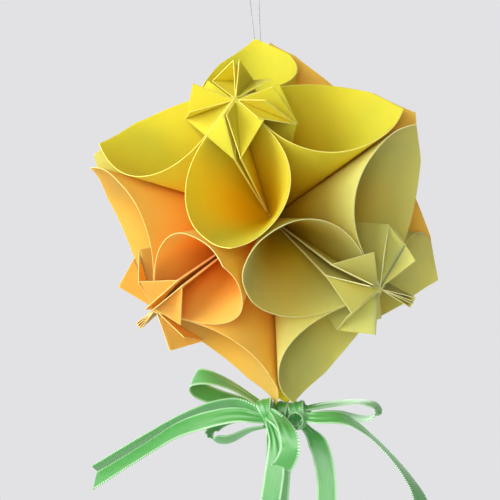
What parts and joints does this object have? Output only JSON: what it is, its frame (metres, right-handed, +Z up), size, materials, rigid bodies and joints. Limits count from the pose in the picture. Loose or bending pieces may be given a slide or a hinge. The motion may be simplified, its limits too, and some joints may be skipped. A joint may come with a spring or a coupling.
{
  "type": "paper flower ball",
  "caption": "Hanging kusudama ball of four-petal folded paper flowers with star centres, on a thread loop, with a satin ribbon bow tied under its lowest corner.",
  "frame": {"origin": "the inside top of the thread's hanging loop, where a pin or hook carries the ball", "axes": "+Z up along the thread; -Y to the viewer of the picture, through the ball's foremost corner; +X to the viewer's right"},
  "size_m": [0.1145, 0.1134, 0.1955],
  "materials": {
    "paper_yellow": "matte",
    "paper_orange": "matte",
    "paper_green": "matte",
    "satin_ribbon": "satin",
    "cotton_thread": "matte"
  },
  "bodies": {
    "root": {"front_yellow_petal_front": "paper_yellow", "front_yellow_petal_left": "paper_yellow", "front_yellow_petal_right": "paper_yellow", "front_yellow_petal_top": "paper_yellow", "left_orange_petal_front": "paper_orange", "left_orange_petal_bottom": "paper_orange", "left_orange_petal_left": "paper_orange", "left_orange_petal_rear_left": "paper_orange", "right_green_petal_front": "paper_green", "right_green_petal_right": "paper_green", "right_green_petal_bottom": "paper_green", "right_green_petal_rear_right": "paper_green", "rear_yellow_petal_bottom": "paper_yellow", "rear_yellow_petal_rear_left": "paper_yellow", "rear_yellow_petal_rear_right": "paper_yellow", "rear_yellow_petal_back": "paper_yellow", "rear_orange_petal_right": "paper_orange", "rear_orange_petal_rear_right": "paper_orange", "rear_orange_petal_top": "paper_orange", "rear_orange_petal_back": "paper_orange", "rear_green_petal_left": "paper_green", "rear_green_petal_top": "paper_green", "rear_green_petal_rear_left": "paper_green", "rear_green_petal_back": "paper_green", "hanging_thread": "cotton_thread", "thread_bead": "cotton_thread", "ribbon_left_upper_loop": "satin_ribbon", "ribbon_left_upper_tail": "satin_ribbon", "ribbon_left_lower_tail": "satin_ribbon", "ribbon_left_lower_loop": "satin_ribbon", "ribbon_centre_loop": "satin_ribbon", "ribbon_front_tail": "satin_ribbon", "ribbon_front_lower_tail": "satin_ribbon", "ribbon_right_tail": "satin_ribbon", "ribbon_right_loop": "satin_ribbon", "ribbon_right_long_tail": "satin_ribbon", "ribbon_front_knot": "satin_ribbon", "ribbon_back_knot": "satin_ribbon"}
  },
  "joints": []
}
